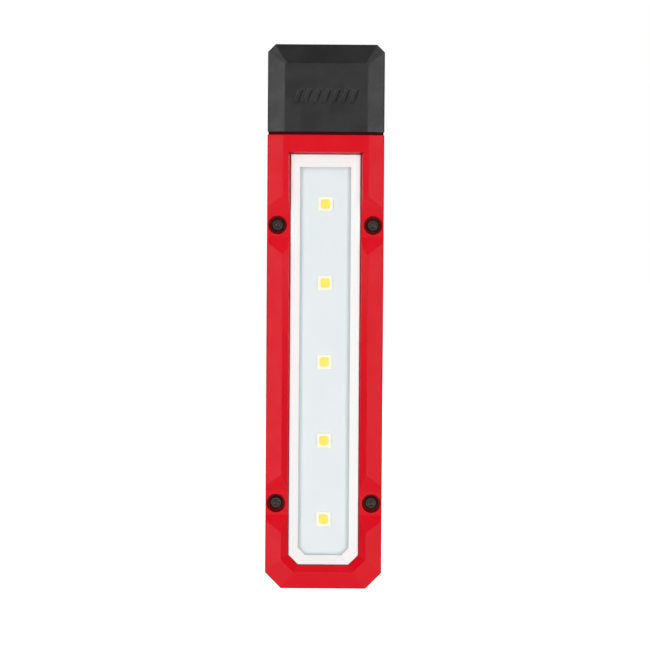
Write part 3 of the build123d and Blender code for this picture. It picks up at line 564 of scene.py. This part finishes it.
# Name, azimuth, elevation, distance, width and height, glow
LAMPS = (
    ("left_strip", -30, 4, 1.3, (0.5, 1.5), 3.5),
    ("right_strip", 31, 2, 1.3, (0.5, 1.5), 3.2),
    ("front", 0, 2, 1.6, (0.9, 0.9), 0.36),
    ("high_front", 0, 50, 1.3, (0.9, 0.5), 0.85),
    ("low_front", 0, -24, 1.3, (0.9, 0.4), 2.1),
    ("top", 20, 80, 1.3, (0.8, 0.8), 0.6),
    ("back_left", -135, 25, 1.3, (0.8, 0.8), 3.0),
    ("back_right", 135, 20, 1.3, (0.8, 0.8), 2.6),
)

WORLD_LIGHT = 0.15


def add_world():
    """White to the camera, dimmer as a source of light."""
    world = bpy.data.worlds.new("studio")
    world.use_nodes = True
    tree = world.node_tree
    background = tree.nodes["Background"]
    paths = tree.nodes.new("ShaderNodeLightPath")
    remap = tree.nodes.new("ShaderNodeMapRange")
    remap.inputs["To Min"].default_value = WORLD_LIGHT
    remap.inputs["To Max"].default_value = 1.0
    tree.links.new(paths.outputs["Is Camera Ray"], remap.inputs["Value"])
    tree.links.new(remap.outputs["Result"], background.inputs["Strength"])
    background.inputs["Color"].default_value = (*WHITE, 1.0)
    bpy.context.scene.world = world


FLOOR_RADIUS = 5.0
FLOOR_SIDES = 96
FLOOR_GLOW = 0.88

# The floor lies a hair below the light, so that the two faces don't share a plane
FLOOR_GAP = 0.1 * MM


def add_floor():
    """A round, pale, evenly glowing floor, which shows only to the camera and in reflections."""
    bpy.ops.mesh.primitive_circle_add(vertices=FLOOR_SIDES, radius=FLOOR_RADIUS, fill_type="NGON")
    floor = bpy.context.object
    floor.name = "floor"
    floor.location = (0, 0, LOW.z - FLOOR_GAP)
    finish = Finish("floor_white", (0.9, 0.9, 0.9), 1.0)
    finish.shader.inputs["Specular IOR Level"].default_value = 0.0
    finish.shader.inputs["Emission Color"].default_value = (*WHITE, 1.0)
    finish.shader.inputs["Emission Strength"].default_value = FLOOR_GLOW
    floor.data.materials.append(finish.material)
    floor.visible_diffuse = False
    floor.visible_shadow = False


# The camera looks at the housing's face from 1 m away, 2 degrees above the horizontal
VIEW_DISTANCE = 1.0
VIEW_HEIGHT = 0.2170
VIEW_CENTRE = (0.1 * MM, FRONT, 88.46 * MM)
VIEW_ELEVATION = 2.0
VIEW_ROLL = 0.394
SENSOR = 36.0


def add_camera():
    data = bpy.data.cameras.new("camera")
    data.sensor_width = SENSOR
    data.lens = SENSOR * VIEW_DISTANCE / VIEW_HEIGHT
    data.clip_start = 0.01
    camera = bpy.data.objects.new("camera", data)
    bpy.context.scene.collection.objects.link(camera)
    raised = radians(VIEW_ELEVATION)
    away = Vector((0, -cos(raised), sin(raised)))
    turn = away.to_track_quat("Z", "Y").to_matrix().to_4x4()
    roll = Matrix.Rotation(radians(VIEW_ROLL), 4, "Z")
    camera.matrix_world = Matrix.Translation(Vector(VIEW_CENTRE) + away * VIEW_DISTANCE) @ turn @ roll
    bpy.context.scene.camera = camera
    bpy.context.scene.view_settings.view_transform = "Standard"


finishes = slot_finishes()
paint_nodes(finishes)
gel_pads(finishes["phosphor"])
switch_spring(finishes["contact_nickel"])
for settings in LAMPS:
    lamp(*settings)
add_world()
add_floor()
add_camera()
